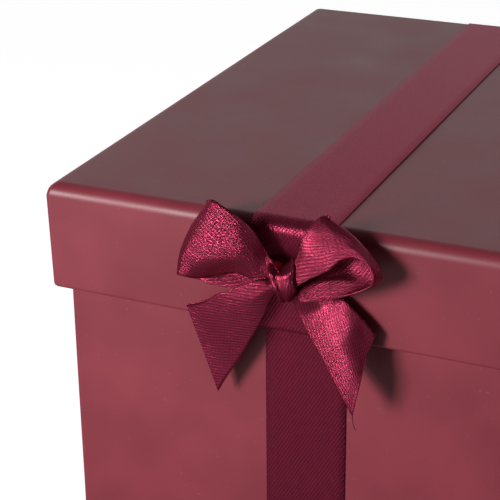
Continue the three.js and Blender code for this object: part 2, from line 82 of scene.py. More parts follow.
class GiftPaper(bpy.types.PropertyGroup):
    """The cover paper and what's under it"""

    colour: FloatVectorProperty(
        name="Paper", description="Printed side of the cover paper",
        subtype="COLOR", size=4, min=0, max=1, default=(0.29, 0.037, 0.057, 1),
    )
    gloss: FloatProperty(
        name="Roughness", description="Roughness of the matt laminate", default=0.44, min=0.05, max=1,
    )
    fold: FloatProperty(
        name="Fold Radius", description="Radius of the paper over the box's edges",
        unit="LENGTH", default=2.4 * MM, min=0.2 * MM,
    )
    corner: FloatProperty(
        name="Corner Radius", description="Radius of the paper round an upright corner",
        unit="LENGTH", default=0.8 * MM, min=0.1 * MM,
    )
    rim: FloatProperty(
        name="Rim Radius", description="Radius of the paper over the cut rim of a wall",
        unit="LENGTH", default=0.8 * MM, min=0.1 * MM,
    )
    wall: FloatProperty(
        name="Wall", description="Thickness of a wrapped wall, from paper to paper",
        unit="LENGTH", default=1.85 * MM, min=0.5 * MM,
    )
    sheet: FloatProperty(
        name="Sheet", description="Thickness of the cover paper", unit="LENGTH", default=0.2 * MM,
    )
    lid_turn_in: FloatProperty(
        name="Lid Turn-in", description="How far the paper goes up inside the lid",
        unit="LENGTH", default=13 * MM,
    )
    base_turn_in: FloatProperty(
        name="Base Turn-in", description="How far the paper goes down inside the base",
        unit="LENGTH", default=16 * MM,
    )
    draw: FloatProperty(
        name="Skirt Draw", description="How far the skirt draws in towards its rim",
        unit="LENGTH", default=0.3 * MM, min=0,
    )
    cockle: FloatProperty(
        name="Cockle", description="Height of the paper's slight waves over the board",
        unit="LENGTH", default=0.05 * MM, min=0,
    )


class GiftRibbon(bpy.types.PropertyGroup):
    """The satin ribbon of the bands and the bow"""

    colour: FloatVectorProperty(
        name="Satin", description="Dyed satin in plain light",
        subtype="COLOR", size=4, min=0, max=1, default=(0.40, 0.032, 0.085, 1),
    )
    width: FloatProperty(
        name="Width", description="Ribbon from selvedge to selvedge", unit="LENGTH", default=15 * MM,
    )
    thickness: FloatProperty(
        name="Thickness", description="Ribbon's thickness", unit="LENGTH", default=0.2 * MM,
    )
    twill: FloatProperty(
        name="Twill Pitch", description="Distance between the weave's diagonal lines",
        unit="LENGTH", default=0.54 * MM, min=0.05 * MM,
    )
    twill_turn: FloatProperty(
        name="Twill Turn", description="Slope of the weave's lines from the ribbon's length",
        subtype="ANGLE", default=math.radians(30),
    )
    picot: FloatProperty(
        name="Picot Pitch", description="Distance between the little loops of the selvedge",
        unit="LENGTH", default=0.48 * MM, min=0.1 * MM,
    )
    picot_reach: FloatProperty(
        name="Picot Reach", description="How far the selvedge's little loops stand out",
        unit="LENGTH", default=0.1 * MM, min=0,
    )


class GiftStudio(bpy.types.PropertyGroup):
    """Camera and light"""

    camera_right: FloatProperty(
        name="Camera Right", description="Camera's place right of the lid's middle",
        unit="LENGTH", default=93.24 * MM,
    )
    camera_ahead: FloatProperty(
        name="Camera Ahead", description="Camera's distance in front of the lid",
        unit="LENGTH", default=224.22 * MM,
    )
    camera_above: FloatProperty(
        name="Camera Above", description="Camera's height above the lid",
        unit="LENGTH", default=102.38 * MM,
    )
    yaw: FloatProperty(
        name="Yaw", description="How far the camera turns to the left",
        subtype="ANGLE", default=math.radians(24.254),
    )
    pitch: FloatProperty(
        name="Pitch", description="How far the camera looks down",
        subtype="ANGLE", default=math.radians(23.812),
    )
    roll: FloatProperty(
        name="Roll", description="Camera's small roll to the left",
        subtype="ANGLE", default=math.radians(0.631),
    )
    lens: FloatProperty(
        name="Lens", description="Focal length on a 36 mm sensor, in millimetres", default=113.75,
    )
    key_turn: FloatProperty(
        name="Key Turn", description="Softbox's place, from the front towards the left",
        subtype="ANGLE", default=math.radians(30),
    )
    key_rise: FloatProperty(
        name="Key Rise", description="Softbox's height as an angle above the lid",
        subtype="ANGLE", default=math.radians(13),
    )
    key_distance: FloatProperty(
        name="Key Distance", description="Softbox's distance", unit="LENGTH", default=0.45,
    )
    key_size: FloatProperty(
        name="Key Size", description="Softbox's side", unit="LENGTH", default=0.15,
    )
    key_power: FloatProperty(
        name="Key Power", description="Softbox's power", unit="POWER", default=2.08,
    )


# Shader helpers: values are sockets with arithmetic, and node() adds any node


class Value:
    """One output socket of a shader node; arithmetic on it adds Math nodes."""

    def __init__(self, finish, socket):
        self.finish = finish
        self.socket = socket

    def math(self, operation, *terms):
        return self.finish.node("ShaderNodeMath", {"operation": operation}, *terms)

    def __add__(self, other):
        return self.math("ADD", self, other)

    __radd__ = __add__

    def __sub__(self, other):
        return self.math("SUBTRACT", self, other)

    def __rsub__(self, other):
        return self.math("SUBTRACT", other, self)

    def __mul__(self, other):
        return self.math("MULTIPLY", self, other)

    __rmul__ = __mul__

    def __truediv__(self, other):
        return self.math("DIVIDE", self, other)

    def __rtruediv__(self, other):
        return self.math("DIVIDE", other, self)

    def __pow__(self, other):
        return self.math("POWER", self, other)


class Finish:
    """A material or world node tree that is being written."""

    def __init__(self, owner):
        owner.use_nodes = True
        self.tree = owner.node_tree
        self.tree.nodes.clear()

    def node(self, kind, settings, *values, output=0, **named):
        """Adds a node: its settings first, then its inputs by order or by name. Returns one output."""
        made = self.tree.nodes.new(kind)
        for key, setting in settings.items():
            setattr(made, key, setting)
        for index, value in enumerate(values):
            self.feed(made.inputs[index], value)
        for name, value in named.items():
            self.feed(made.inputs[name.replace("_", " ")], value)
        return Value(self, made.outputs[output]) if made.outputs else None

    def feed(self, socket, value):
        if isinstance(value, Value):
            self.tree.links.new(value.socket, socket)
        elif value is not None:
            socket.default_value = value

    def noise(self, place, size, detail=2.0, roughness=0.5):
        """Noise from about 0.2 to 0.8 with features of that size in metres."""
        return self.node(
            "ShaderNodeTexNoise", {}, Vector=place, Scale=1 / size, Detail=detail, Roughness=roughness,
        )

    def stretch(self, place, across, along):
        """The coordinates with each axis multiplied by its scale."""
        return self.node("ShaderNodeVectorMath", {"operation": "MULTIPLY"}, place, (across, along, 1))

    def mix(self, share, first, second):
        """Mixes two colours."""
        settings = {"data_type": "RGBA", "clamp_factor": True}
        unused = (None,) * 5
        return self.node("ShaderNodeMix", settings, share, *unused, first, second, output=2)

    def surface(self, shader):
        self.node("ShaderNodeOutputMaterial", {}, Surface=shader)


def material(name, write):
    """A material whose nodes the write function makes."""
    made = bpy.data.materials.new(name)
    write(Finish(made))
    return made


def wrap_paper(finish):
    paper = bpy.context.scene.gift_paper
    place = finish.node("ShaderNodeTexCoord", {}, output="Object")
    fibre = finish.noise(place, 0.35 * MM, 3)
    cloud = finish.noise(place, 14 * MM, 2)
    speck = finish.noise(place, 0.9 * MM, 1)
    dark = tuple(0.86 * c for c in paper.colour[:3]) + (1,)
    light = tuple(1.1 * c for c in paper.colour[:3]) + (1,)
    tone = finish.mix((cloud - 0.35) * 2 + (fibre - 0.5) * 0.5, dark, light)
    dust = finish.node("ShaderNodeMapRange", {}, speck, 0.72, 0.76, 0, 0.18)
    colour = finish.mix(dust, tone, (0.45, 0.2, 0.2, 1))
    bump = finish.node("ShaderNodeBump", {}, Strength=0.35, Distance=0.012 * MM, Height=fibre)
    shader = finish.node(
        "ShaderNodeBsdfPrincipled", {},
        Base_Color=colour, Roughness=(cloud - 0.5) * 0.16 + (fibre - 0.5) * 0.1 + paper.gloss,
        Normal=bump, IOR=1.5, Specular_IOR_Level=0.5,
    )
    finish.surface(shader)


def satin(finish):
    """Long floats that shine across the ribbon's length only, cut by the dotted lines of a twill.
    The floats run along the strip's guides, and the twill keeps its true pitch where the cloth gathers."""
    ribbon = bpy.context.scene.gift_ribbon
    weave = finish.node("ShaderNodeUVMap", {"uv_map": "weave"})
    cloth = finish.node("ShaderNodeUVMap", {"uv_map": "cloth"})
    across = finish.node("ShaderNodeSeparateXYZ", {}, cloth)
    along = finish.node("ShaderNodeSeparateXYZ", {}, cloth, output="Y")
    rate = 2 * math.pi / ribbon.twill
    turn = ribbon.twill_turn
    slub = finish.noise(cloth, 2.5 * MM, 2)
    waver = (finish.noise(cloth, 0.7 * MM, 1) - 0.5) * 1.2
    phase = across * (rate * math.cos(turn)) - along * (rate * math.sin(turn)) + waver
    line = phase.math("SINE", phase) * 0.5 + 0.5
    cross = across * (rate * math.sin(turn)) + along * (rate * math.cos(turn)) - waver
    knot = cross.math("SINE", cross) * 0.5 + 0.5
    bound = (1 - line) * (knot * 0.5 + 0.5)
    floats = finish.noise(finish.stretch(weave, 1, 0.06), 0.03 * MM, 0)
    bump = finish.node(
        "ShaderNodeBump", {}, Strength=1.0, Distance=0.038 * MM, Height=floats - bound * 0.6,
    )
    dark = tuple(0.2 * c for c in ribbon.colour[:3]) + (1,)
    colour = finish.mix(bound * 0.85 + (slub - 0.5) * 0.2, tuple(ribbon.colour), dark)
    shader = finish.node(
        "ShaderNodeBsdfPrincipled", {},
        Base_Color=colour, Metallic=0.9, Roughness=bound * 0.16 + 0.27, Normal=bump,
        IOR=1.9, Specular_IOR_Level=0.5, Specular_Tint=(0.8, 0.68, 0.7, 1),
    )
    finish.surface(shader)


def board_grey(finish):
    place = finish.node("ShaderNodeTexCoord", {}, output="Object")
    pulp = finish.noise(place, 0.5 * MM, 4, 0.7)
    colour = finish.mix(pulp, (0.2, 0.185, 0.165, 1), (0.34, 0.32, 0.29, 1))
    bump = finish.node("ShaderNodeBump", {}, Strength=0.4, Distance=0.05 * MM, Height=pulp)
    shader = finish.node(
        "ShaderNodeBsdfPrincipled", {}, Base_Color=colour, Roughness=pulp * 0.1 + 0.88, Normal=bump,
    )
    finish.surface(shader)


def lining_paper(finish):
    place = finish.node("ShaderNodeTexCoord", {}, output="Object")
    fibre = finish.noise(place, 0.4 * MM, 4, 0.6)
    colour = finish.mix(fibre, (0.78, 0.74, 0.67, 1), (0.87, 0.84, 0.78, 1))
    bump = finish.node("ShaderNodeBump", {}, Strength=0.3, Distance=0.02 * MM, Height=fibre)
    shader = finish.node(
        "ShaderNodeBsdfPrincipled", {}, Base_Color=colour, Roughness=fibre * 0.1 + 0.75, Normal=bump,
    )
    finish.surface(shader)


def stay_paper(finish):
    place = finish.node("ShaderNodeTexCoord", {}, output="Object")
    fibre = finish.noise(place, 0.6 * MM, 4, 0.6)
    colour = finish.mix(fibre, (0.36, 0.24, 0.13, 1), (0.5, 0.36, 0.22, 1))
    shader = finish.node("ShaderNodeBsdfPrincipled", {}, Base_Color=colour, Roughness=fibre * 0.1 + 0.8)
    finish.surface(shader)


def glue_foam(finish):
    place = finish.node("ShaderNodeTexCoord", {}, output="Object")
    cell = finish.noise(place, 0.2 * MM, 3)
    colour = finish.mix(cell, (0.6, 0.56, 0.46, 1), (0.78, 0.74, 0.64, 1))
    shader = finish.node("ShaderNodeBsdfPrincipled", {}, Base_Color=colour, Roughness=cell * 0.2 + 0.5)
    finish.surface(shader)


# Modelling helpers


def leave_edit():
    if bpy.context.object and bpy.context.object.mode != "OBJECT":
        bpy.ops.object.mode_set(mode="OBJECT")


def only(obj):
    """Selects one object alone."""
    leave_edit()
    bpy.ops.object.select_all(action="DESELECT")
    obj.select_set(True)
    bpy.context.view_layer.objects.active = obj


def pick(kind, test):
    """In edit mode, selects only the faces, edges or vertices that pass the test."""
    data = bpy.context.object.data
    bpy.ops.mesh.select_mode(type=kind)
    bpy.ops.mesh.select_all(action="DESELECT")
    mesh = bmesh.from_edit_mesh(data)
    for item in {"VERT": mesh.verts, "EDGE": mesh.edges, "FACE": mesh.faces}[kind]:
        if test(item):
            item.select_set(True)
    bmesh.update_edit_mesh(data)


def apply_modifier(obj, kind, **settings):
    only(obj)
    made = obj.modifiers.new(kind.title(), kind)
    for key, setting in settings.items():
        setattr(made, key, setting)
    bpy.ops.object.modifier_apply(modifier=made.name)


def dress(obj, finish, slot, body, *nodes):
    """Gives a piece its finish and the body it rides on, and hides what it stands for. Its slot argument is
    not used.
    """
    obj.data.materials.clear()
    obj.data.materials.append(finish)
    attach(obj, body)
    if nodes:
        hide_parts(*nodes)
    return obj


def wrapped_tray(name, low, high, way, paper, turn_in, draw):
    """Cover paper folded over a tray whose open side looks along way, -1 down or 1 up."""
    steps = 4
    centre = (low + high) / 2
    rim_z = high.z if way > 0 else low.z
    bend_z = rim_z - way * paper.rim
    body_low = Vector((low.x, low.y, low.z if way > 0 else bend_z))
    body_high = Vector((high.x, high.y, bend_z if way > 0 else high.z))
    leave_edit()
    bpy.ops.object.select_all(action="DESELECT")
    bpy.ops.mesh.primitive_cube_add(
        size=1, location=(body_low + body_high) / 2, scale=body_high - body_low,
    )
    obj = bpy.context.object
    obj.name = name
    bpy.ops.object.transform_apply(location=True, rotation=True, scale=True)
    bpy.ops.object.mode_set(mode="EDIT")
    pick("FACE", lambda face: face.normal.z * way > 0.9)
    bpy.ops.mesh.delete(type="ONLY_FACE")
    fold_edges(obj, paper)
    cut_every(low, high, 6 * MM)
    pick("EDGE", lambda edge: edge.is_boundary)
    half = (high - low) / 2
    inset = 0.0
    z = bend_z
    for turn in np.linspace(0, math.pi, 2 * steps + 1)[1:]:
        next_inset = paper.wall / 2 - (paper.wall / 2) * math.cos(turn)
        next_z = bend_z + way * paper.rim * math.sin(turn)
        draw_in(next_z - z, half, inset, next_inset, centre)
        inset, z = next_inset, next_z
    draw_in(-way * (turn_in - paper.rim), half, inset, inset, centre)
    bpy.ops.object.mode_set(mode="OBJECT")
    for vertex in obj.data.vertices:
        drop = draw * max(high.z - vertex.co.z, 0) / (high.z - low.z) if way < 0 else 0
        vertex.co.x *= 1 - drop / half.x
        vertex.co.y *= 1 - drop / half.y
    cockle(obj, paper)
    apply_modifier(obj, "SOLIDIFY", thickness=paper.sheet, offset=-1, use_even_offset=True)
    only(obj)
    bpy.ops.object.shade_smooth()
    apply_modifier(obj, "WEIGHTED_NORMAL", weight=80, keep_sharp=False)
    return obj


def fold_edges(obj, paper):
    """Rounds the tray's folds, and its upright corners less."""
    mesh = bmesh.from_edit_mesh(obj.data)
    weight = mesh.edges.layers.float.new("bevel_weight_edge")
    for edge in mesh.edges:
        upright = abs((edge.verts[0].co - edge.verts[1].co).normalized().z) > 0.9
        if not edge.is_boundary:
            edge[weight] = paper.corner / paper.fold if upright else 1
    bmesh.update_edit_mesh(obj.data)
    bpy.ops.object.mode_set(mode="OBJECT")
    apply_modifier(obj, "BEVEL", limit_method="WEIGHT", width=paper.fold, segments=8)
    bpy.ops.object.mode_set(mode="EDIT")


def cut_every(low, high, step):
    """Cuts all faces across at even distances, so that they can take gentle waves."""
    for axis, normal in ((0, (1, 0, 0)), (1, (0, 1, 0)), (2, (0, 0, 1))):
        count = int((high[axis] - low[axis]) / step)
        for index in range(1, count):
            place = low.copy()
            place[axis] += (high[axis] - low[axis]) * index / count
            bpy.ops.mesh.select_all(action="SELECT")
            bpy.ops.mesh.bisect(plane_co=place, plane_no=normal)


def draw_in(rise, half, inset, next_inset, centre):
    """Extrudes the selected rim by rise and narrows it from one inset to the next."""
    bpy.ops.mesh.extrude_region_move(TRANSFORM_OT_translate={"value": (0, 0, rise)})
    narrow = ((half.x - next_inset) / (half.x - inset), (half.y - next_inset) / (half.y - inset), 1)
    bpy.ops.transform.resize(value=narrow, center_override=centre)


def cockle(obj, paper):
    """Gives the glued paper its slight waves over the board."""
    mesh = obj.data
    normals = [vertex.normal.copy() for vertex in mesh.vertices]
    for vertex, normal in zip(mesh.vertices, normals):
        wave = noise.noise(vertex.co / WAVE_LENGTH)
        vertex.co += normal * paper.cockle * wave


def ribbon_curve(points, samples):
    """A centripetal curve through the points, evenly sampled by its points' order."""
    points = np.array(points, float)
    ends = np.vstack([2 * points[0] - points[1], points, 2 * points[-1] - points[-2]])
    found = []
    for place in np.linspace(0, len(points) - 1, samples):
        k = min(int(place), len(points) - 2)
        s = place - k
        p = ends[k:k + 4]
        gaps = np.maximum(np.linalg.norm(np.diff(p, axis=0), axis=1) ** 0.5, 1e-9)
        near = (p[1] - p[0]) / gaps[0] - (p[2] - p[0]) / (gaps[0] + gaps[1]) + (p[2] - p[1]) / gaps[1]
        far = (p[2] - p[1]) / gaps[1] - (p[3] - p[1]) / (gaps[1] + gaps[2]) + (p[3] - p[2]) / gaps[2]
        near, far = near * gaps[1], far * gaps[1]
        found.append(
            (2 * s**3 - 3 * s**2 + 1) * p[1] + (s**3 - 2 * s**2 + s) * near
            + (3 * s**2 - 2 * s**3) * p[2] + (s**3 - s**2) * far
        )
    return np.array(found)


def strip_mesh(name, rows, ribbon, thickness, hand, open_columns=None):
    """A ribbon from rows of points across it, with a picot selvedge along its open columns' edges.
    Its weave layer is even across the ribbon, and its cloth layer has the true distances.
    Columns past the open ones are turned back behind it."""
    rows = np.array(rows, float)
    count, spans = rows.shape[:2]
    middle = rows[:, spans // 2]
    along = np.concatenate([[0], np.cumsum(np.linalg.norm(np.diff(middle, axis=0), axis=1))])
    last = (open_columns or spans) - 1
    share = np.arange(spans) / last - 0.5
    beat = np.abs(np.sin(math.pi * along / ribbon.picot))
    for edge, inner in ((0, 1), (last, last - 1)):
        outward = rows[:, edge] - rows[:, inner]
        outward /= np.linalg.norm(outward, axis=1, keepdims=True)
        rows[:, edge] += outward * (beat * ribbon.picot_reach)[:, None]
    index = np.arange(count * spans).reshape(count, spans)
    quads = np.stack([index[:-1, :-1], index[:-1, 1:], index[1:, 1:], index[1:, :-1]], axis=-1)
    mesh = bpy.data.meshes.new(name)
    mesh.from_pydata(rows.reshape(-1, 3).tolist(), [], quads.reshape(-1, 4).tolist())
    corner = np.zeros(len(mesh.loops), int)
    mesh.loops.foreach_get("vertex_index", corner)
    reach = np.zeros((count, spans))
    reach[:, 1:] = np.cumsum(np.linalg.norm(np.diff(rows, axis=1), axis=2), axis=1)
    reach -= reach[:, last // 2, None]
    length = along[corner // spans]
    layers = {"weave": share[corner % spans] * ribbon.width, "cloth": reach.ravel()[corner]}
    for layer, across in layers.items():
        uv = np.stack([hand * across, length], axis=-1)
        mesh.uv_layers.new(name=layer).data.foreach_set("uv", uv.astype(np.float32).ravel())
    obj = bpy.data.objects.new(name, mesh)
    bpy.context.collection.objects.link(obj)
    apply_modifier(obj, "SOLIDIFY", thickness=thickness, offset=0)
    only(obj)
    bpy.ops.object.shade_smooth()
    return obj


# Operators


class GIFTBOX_OT_wraps(bpy.types.Operator):
    """Fold the cover paper over the lid and the base"""

    bl_idname = "giftbox.wraps"
    bl_label = "Paper Wraps"

    def execute(self, context):
        paper = context.scene.gift_paper
        look = material("wrap_paper", wrap_paper)
        lid = wrapped_tray("lid_cover", LID_LOW, LID_HIGH, -1, paper, paper.lid_turn_in, paper.draw)
        dress(lid, look, "wrap_paper", "lid", "lid_wrap")
        base = wrapped_tray("base_cover", BASE_LOW, BASE_HIGH, 1, paper, paper.base_turn_in, 0)
        dress(base, look, "wrap_paper", "base", "base_wrap")
        return {"FINISHED"}


class GIFTBOX_OT_inner(bpy.types.Operator):
    """Finish the board, stays, linings and glue pad"""

    bl_idname = "giftbox.inner"
    bl_label = "Board and Linings"

    def execute(self, context):
        looks = {
            "_board": material("grey_board", board_grey),
            "_lining": material("lining_paper", lining_paper),
            "_stay_": material("stay_paper", stay_paper),
            "glue_pad": material("glue_pad", glue_foam),
        }
        for name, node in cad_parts.items():
            for part, look in looks.items():
                if part in name:
                    node.material_slots[0].material = look
        return {"FINISHED"}


def band_path(side, plan_half, steps):
    """The band's way over the box as [y, z] points, from its front end to its back end."""
    front = [(inset - plan_half, z) for inset, z in side]
    back = [(plan_half - inset, z) for inset, z in reversed(side)]
    path = np.array(front + back)
    reach = np.concatenate([[0], np.cumsum(np.linalg.norm(np.diff(path, axis=0), axis=1))])
    at = np.linspace(0, reach[-1], steps)
    return np.stack([np.interp(at, reach, path[:, 0]), np.interp(at, reach, path[:, 1])], axis=-1)


def bend(inset, z, radius, start, end, steps=12):
    """Points of an arc in the (inset, z) plane, between two angles in degrees."""
    turns = np.radians(np.linspace(start, end, steps + 1))
    return [(inset + radius * math.cos(t), z + radius * math.sin(t)) for t in turns]


class GIFTBOX_OT_bands(bpy.types.Operator):
    """Lay the satin bands over the lid and under the base"""

    bl_idname = "giftbox.bands"
    bl_label = "Ribbon Bands"

    def execute(self, context):
        paper = context.scene.gift_paper
        ribbon = context.scene.gift_ribbon
        look = bpy.data.materials.get("satin_weave") or material("satin_weave", satin)
        off = GLUE + ribbon.thickness / 2
        across = np.linspace(-0.5, 0.5, BAND_COLUMNS)
        top, rim = LID_HIGH.z, LID_LOW.z
        half = (LID_HIGH.y - LID_LOW.y) / 2
        side = [(paper.wall + off, LID_BAND_LOW.z + LID_BAND_INSIDE)]
        side += bend(paper.wall - paper.rim, rim + paper.rim, paper.rim + off, 360, 270)
        side += bend(paper.rim, rim + paper.rim, paper.rim + off, 270, 180)
        side += bend(paper.fold, top - paper.fold, paper.fold + off, 180, 90)
        rows = []
        path = band_path(side, half, LID_BAND_ROWS)
        for y, z in path:
            share = (y + half) / (2 * half)
            lean = -LID_BAND_LEAN * share
            drawn = paper.draw * max(top - z, 0) / (top - rim)
            y *= 1 - drawn / half
            rows.append([(lean + t * ribbon.width, y, z) for t in across])
        band = strip_mesh("lid_band", rows, ribbon, ribbon.thickness, 1)
        dress(band, look, "satin_ribbon", "lid", "lid_ribbon")
        half = (BASE_HIGH.y - BASE_LOW.y) / 2
        bottom = BASE_LOW.z
        side = [(-off, BASE_BAND_HIGH.z)]
        side += bend(paper.fold, bottom + paper.fold, paper.fold + off, 180, 270)
        rows = []
        path = band_path(side, half, BASE_BAND_ROWS)
        for y, z in path:
            rows.append([(BASE_BAND_RIGHT + t * ribbon.width, y, z) for t in across])
        band = strip_mesh("base_band", rows, ribbon, ribbon.thickness, -1)
        dress(band, look, "satin_ribbon", "base", "base_ribbon")
        return {"FINISHED"}


# Four guides along each strip, from one selvedge to the other, as [right, out, up] from the knot's centre
# in millimetres. They run from inside the knot outwards and, for a loop, over its bend and back.
LEFT_LOOP = (
    [
        (-0.3, 1.5, -1.6), (-3.3, 0.5, 0.5), (-5.9, 0.8, 0), (-9.7, 0, 0.1), (-13.4, 0, -1.3),
        (-15.7, 1.2, -1.6), (-17.1, 2.3, -1.2), (-18.1, 2.5, -1), (-19.3, 1.8, -1.2), (-20.1, -0.1, -2.3),
        (-19.1, -1.4, -3.1), (-16.7, -1.2, -3.1), (-13.6, -1, -3.6), (-9.3, -1, -3), (-6.9, -1.3, -1.8),
        (-3.6, -1.2, -0.6), (-0.3, -1.5, -1.6),
    ],
    [
        (-0.3, 1.7, -0.6), (-3.3, 0.7, 2), (-5.3, 1.9, 3.3), (-7.7, 3, 4.5), (-9.8, 3.3, 4.5),
        (-12, 3.3, 4.2), (-14.5, 3.2, 4.1), (-16.5, 2.7, 3.8), (-18.1, 1.9, 3.2), (-19.3, 0.6, 2.3),
        (-19.7, -0.7, 1.3), (-18.9, -2, 0.6), (-16.7, -2.6, -0.2), (-13.5, -2.6, -0.9), (-9.6, -2.2, -1.3),
        (-7, -2, -0.5), (-4.1, -1.7, 0.1), (-0.3, -1.6, -0.6),
    ],
    [
        (-0.3, 1.7, 0.6), (-3.4, 0.5, 3.5), (-5.4, 1.5, 6), (-7.6, 2.4, 7.8), (-9.3, 2.5, 8.3),
        (-11.2, 2.4, 8.5), (-13, 2.2, 8.7), (-14.7, 1.7, 8.7), (-16.1, 1, 8.4), (-17, 0.1, 7.8),
        (-17.3, -1.3, 6.7), (-16.7, -2.4, 5.5), (-14.9, -2.8, 3.8), (-12.3, -2.8, 2.1), (-9.3, -2.8, 0.8),
        (-6.9, -2.4, 0.6), (-4.3, -2, 0.9), (-0.3, -1.6, 0.6),
    ],
    [
        (-0.3, 1.5, 1.6), (-3.7, -0.2, 4.7), (-5.8, 0.1, 8), (-8, 0.6, 10.2), (-9.5, 0.9, 11.3),
        (-11, 0.8, 12), (-12.3, 0.5, 12.5), (-13.4, 0.1, 12.6), (-14.2, -0.5, 12.2), (-14.6, -1.5, 11.4),
        (-14.6, -2.4, 10.4), (-14, -2.8, 9.2), (-12.6, -3, 7.1), (-10.6, -3, 4.8), (-8.3, -2.8, 2.8),
        (-6.6, -2.6, 1.7), (-4.4, -2.2, 1.7), (-0.3, -1.5, 1.6),
    ],
)
RIGHT_LOOP = (
    [
        (0.3, 1.5, -1.6), (2.7, 1.8, 0.4), (5.4, 2, 2.5), (8.2, 2.1, 4.3), (10.3, 2, 6.5),
        (12.8, 2, 7.4), (15, 2.4, 6.8), (16.5, 2.9, 5), (15.9, 2.4, 3.2), (14.1, 2.2, 1.8),
        (11.6, 2.3, 0.5), (8.7, 2.4, -0.6), (5.9, 2.5, -1.5), (4.1, 2.4, -1.9), (2.9, 1.7, -1.8),
        (1.8, 0.1, -1.4), (0.3, -1, -1.4),
    ],
    [
        (0.3, 1.7, -0.6), (2.7, 1.7, 1.9), (4.7, 1.7, 4), (6.8, 1.7, 5.8), (8.8, 1.6, 7.6),
        (11.2, 1.6, 8.5), (13.7, 1.7, 8.1), (15.7, 1.6, 6.7), (17.3, 1.3, 4.5), (16.4, 1.3, 3.1),
        (13.2, 0.4, 2.4), (10.2, 1, 2.4), (7.3, 1.6, 1.9), (4.9, 1.4, 0.6), (3, 0.8, -0.6),
        (1.7, -0.7, -1.2), (0.3, -1.2, -0.5),
    ],
    [
        (0.3, 1.6, 0.6), (2.6, 1.5, 3.4), (3.9, 1.5, 6), (5.4, 1.3, 7.7), (6.9, 1.1, 8.8), (8.5, 1, 9.3),
        (10.3, 0.6, 9.7), (12.3, -0.4, 9.5), (12.4, -1.6, 7.9), (10.2, -2, 4.9), (7.5, -1.2, 2.9),
        (5.1, -0.9, 1.3), (3.6, -1, 0.3), (2.3, -1.3, -0.2), (1.4, -1.4, -0.3), (0.3, -1.3, 0.5),
    ],
    [
        (0.3, 1.4, 1.5), (2.1, 0.7, 4.6), (3, 0.8, 7.7), (3.6, 0.5, 9.1), (4.2, 0.2, 10.2),
        (4.9, -0.5, 11.2), (5.7, -1.3, 12), (6.6, -1.9, 12), (6.9, -2.6, 9.9), (5.6, -2.7, 7.4),
        (3.8, -2.7, 4.8), (2.5, -2.5, 2.9), (1.8, -2.2, 1.6), (1.5, -1.9, 1), (1.1, -1.6, 0.9),
        (0.3, -1.2, 1.4),
    ],
)
LEFT_TAIL = (
    [
        (-0.3, 0, -1.6), (-2.5, -0.4, -3.1), (-5.1, -1.5, -8.6), (-7.5, -2.2, -13.1), (-9.8, -2.6, -17.4),
        (-12.3, -2.8, -21.6), (-14.3, -2.8, -25.2),
    ],
    [
        (-0.3, 0.4, -0.8), (-2.5, 0.5, -1.8), (-5.7, -0.5, -5.6), (-8.9, -1.2, -9.4), (-12, -1.6, -12.9),
        (-14.9, -2, -15.8), (-16.7, -2, -17),
    ],
    [
        (-0.3, 0.4, 0.4), (-2.6, 0.7, -1), (-6.2, 0, -4.2), (-10.2, -0.1, -5.4), (-14.3, -0.4, -6.9),
        (-16.9, -0.5, -7.9), (-18.8, -0.5, -8.5),
    ],
    [
        (-0.3, 0, 1.2), (-3, -0.4, -0.4), (-6.1, -0.4, -1.4), (-9.7, -0.2, -3.3), (-12.9, -0.1, -5),
        (-16, 0, -6.7), (-18.8, -0.1, -7.8),
    ],
)
RIGHT_TAIL = (
    [
        (0.3, -1.6, -0.9), (0.2, -2, -3), (0.6, -2.2, -5.1), (1.6, -2.4, -7.3), (3.8, -1.8, -10.6),
        (6.6, -0.8, -14), (10.3, 0.8, -18.7), (12.8, 1.5, -22),
    ],
    [
        (0.3, -1.7, -0.6), (1.5, -1, -2.3), (2.2, -1.6, -4.1), (3.3, -2.2, -6), (6.3, -1.2, -9),
        (9, -0.2, -11.5), (11.9, 1, -14.7), (13.8, 1.5, -16.7),
    ],
    [
        (0.3, -1.8, -0.3), (2.5, -0.9, -1.8), (3.8, -1.5, -3.1), (5.4, -2.1, -4.4), (8.3, -1, -6.4),
        (11.3, -0.3, -8.1), (13.2, -0.6, -10.5), (14.2, -0.8, -11.9),
    ],
    [
        (0.3, -1.8, 0), (3.2, -1.5, -1.4), (4.8, -2, -2.3), (6.6, -2.6, -2.7), (9.5, -2, -2.6),
        (12.1, -1.8, -4.5), (13.9, -1.8, -6.2), (15.4, -1.8, -7.9),
    ],
)


